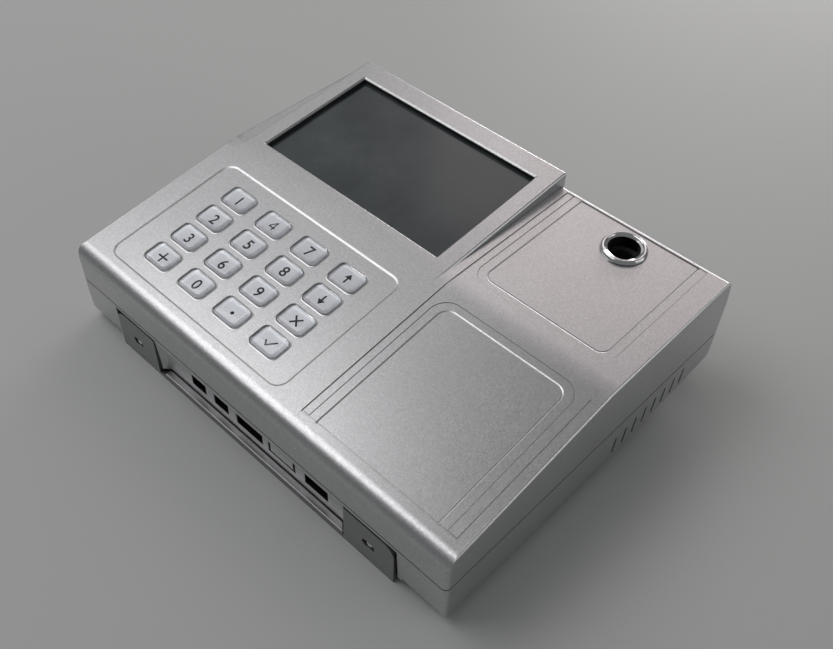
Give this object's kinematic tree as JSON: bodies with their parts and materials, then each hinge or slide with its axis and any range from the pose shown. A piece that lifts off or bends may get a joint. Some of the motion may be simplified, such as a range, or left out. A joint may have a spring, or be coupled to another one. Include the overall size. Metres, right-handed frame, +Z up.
{
  "type": "punch time clock",
  "caption": "Desktop time clock with a sloping keypad face, raised display housing, card reading area, round reader socket, front port row and a steel bracket plate.",
  "frame": {"origin": "centre of the bounding box in plan, on the surface that the bracket plate stands on", "axes": "+Z up, +Y towards the back (the display side), +X towards the card reading area, so the keypad is at -X"},
  "size_m": [0.216, 0.1724, 0.0619],
  "materials": {
    "housing_silver": "moulded plastic with a sprayed silver metallic coat, fine flake, satin",
    "bracket_silver": "sheet steel with a silver coat, slightly glossier than the housing",
    "key_clear": "clear moulded cap over a silver backing, polished",
    "silicone_grey": "matt silicone",
    "circuit_board": "green solder resist",
    "screw_steel": "zinc plated",
    "screw_bright": "bright plated",
    "window_smoke": "smoky clear plate, glossy and a little dusty",
    "seal_black": "matt",
    "panel_black": "dark display glass",
    "tray_steel": "plain sheet",
    "ring_chrome": "polished",
    "socket_black": "matt black",
    "jack_black": "matt black",
    "chip_black": "matt black",
    "battery_steel": "stainless",
    "battery_wrap": "shrink wrap",
    "connector_ivory": "nylon",
    "ribbon_ivory": "flat cable"
  },
  "bodies": {
    "case": {"front_cover": "housing_silver", "rear_cover": "housing_silver", "key_mat": "silicone_grey", "key_board": "circuit_board", "key_board_screws": "screw_steel", "display_window": "window_smoke", "window_gasket": "seal_black", "display_panel": "panel_black", "display_frame": "tray_steel", "display_board": "circuit_board", "display_screws": "screw_steel", "socket_ring": "ring_chrome", "socket_nut": "tray_steel", "socket_cup": "socket_black", "reader_board": "circuit_board", "reader_board_screws": "screw_steel", "main_board": "circuit_board", "processor": "chip_black", "network_jack": "jack_black", "usb_socket": "jack_black", "power_jack": "jack_black", "signal_jack": "jack_black", "buzzer": "chip_black", "clock_battery": "battery_steel", "battery_holder": "chip_black", "backup_battery": "battery_wrap", "board_headers": "connector_ivory", "display_ribbon": "ribbon_ivory", "keypad_ribbon": "ribbon_ivory", "reader_ribbon": "ribbon_ivory", "main_board_screws": "screw_steel", "case_screws": "screw_steel", "wall_bracket": "bracket_silver", "bracket_screws": "screw_bright"},
    "key_plus": {"key_plus": "key_clear"},
    "key_0": {"key_0": "key_clear"},
    "key_point": {"key_point": "key_clear"},
    "key_enter": {"key_enter": "key_clear"},
    "key_3": {"key_3": "key_clear"},
    "key_6": {"key_6": "key_clear"},
    "key_9": {"key_9": "key_clear"},
    "key_cancel": {"key_cancel": "key_clear"},
    "key_2": {"key_2": "key_clear"},
    "key_5": {"key_5": "key_clear"},
    "key_8": {"key_8": "key_clear"},
    "key_down": {"key_down": "key_clear"},
    "key_1": {"key_1": "key_clear"},
    "key_4": {"key_4": "key_clear"},
    "key_7": {"key_7": "key_clear"},
    "key_up": {"key_up": "key_clear"}
  },
  "joints": [
    {"name": "key_plus_press", "type": "slide", "parent": "case", "child": "key_plus", "axis": [0, 0.1461, -0.9893], "range_m": [0, 0.0012], "stiffness_N_per_m": 250},
    {"name": "key_0_press", "type": "slide", "parent": "case", "child": "key_0", "axis": [0, 0.1461, -0.9893], "range_m": [0, 0.0012], "stiffness_N_per_m": 250},
    {"name": "key_point_press", "type": "slide", "parent": "case", "child": "key_point", "axis": [0, 0.1461, -0.9893], "range_m": [0, 0.0012], "stiffness_N_per_m": 250},
    {"name": "key_enter_press", "type": "slide", "parent": "case", "child": "key_enter", "axis": [0, 0.1461, -0.9893], "range_m": [0, 0.0012], "stiffness_N_per_m": 250},
    {"name": "key_3_press", "type": "slide", "parent": "case", "child": "key_3", "axis": [0, 0.1461, -0.9893], "range_m": [0, 0.0012], "stiffness_N_per_m": 250},
    {"name": "key_6_press", "type": "slide", "parent": "case", "child": "key_6", "axis": [0, 0.1461, -0.9893], "range_m": [0, 0.0012], "stiffness_N_per_m": 250},
    {"name": "key_9_press", "type": "slide", "parent": "case", "child": "key_9", "axis": [0, 0.1461, -0.9893], "range_m": [0, 0.0012], "stiffness_N_per_m": 250},
    {"name": "key_cancel_press", "type": "slide", "parent": "case", "child": "key_cancel", "axis": [0, 0.1461, -0.9893], "range_m": [0, 0.0012], "stiffness_N_per_m": 250},
    {"name": "key_2_press", "type": "slide", "parent": "case", "child": "key_2", "axis": [0, 0.1461, -0.9893], "range_m": [0, 0.0012], "stiffness_N_per_m": 250},
    {"name": "key_5_press", "type": "slide", "parent": "case", "child": "key_5", "axis": [0, 0.1461, -0.9893], "range_m": [0, 0.0012], "stiffness_N_per_m": 250},
    {"name": "key_8_press", "type": "slide", "parent": "case", "child": "key_8", "axis": [0, 0.1461, -0.9893], "range_m": [0, 0.0012], "stiffness_N_per_m": 250},
    {"name": "key_down_press", "type": "slide", "parent": "case", "child": "key_down", "axis": [0, 0.1461, -0.9893], "range_m": [0, 0.0012], "stiffness_N_per_m": 250},
    {"name": "key_1_press", "type": "slide", "parent": "case", "child": "key_1", "axis": [0, 0.1461, -0.9893], "range_m": [0, 0.0012], "stiffness_N_per_m": 250},
    {"name": "key_4_press", "type": "slide", "parent": "case", "child": "key_4", "axis": [0, 0.1461, -0.9893], "range_m": [0, 0.0012], "stiffness_N_per_m": 250},
    {"name": "key_7_press", "type": "slide", "parent": "case", "child": "key_7", "axis": [0, 0.1461, -0.9893], "range_m": [0, 0.0012], "stiffness_N_per_m": 250},
    {"name": "key_up_press", "type": "slide", "parent": "case", "child": "key_up", "axis": [0, 0.1461, -0.9893], "range_m": [0, 0.0012], "stiffness_N_per_m": 250}
  ]
}
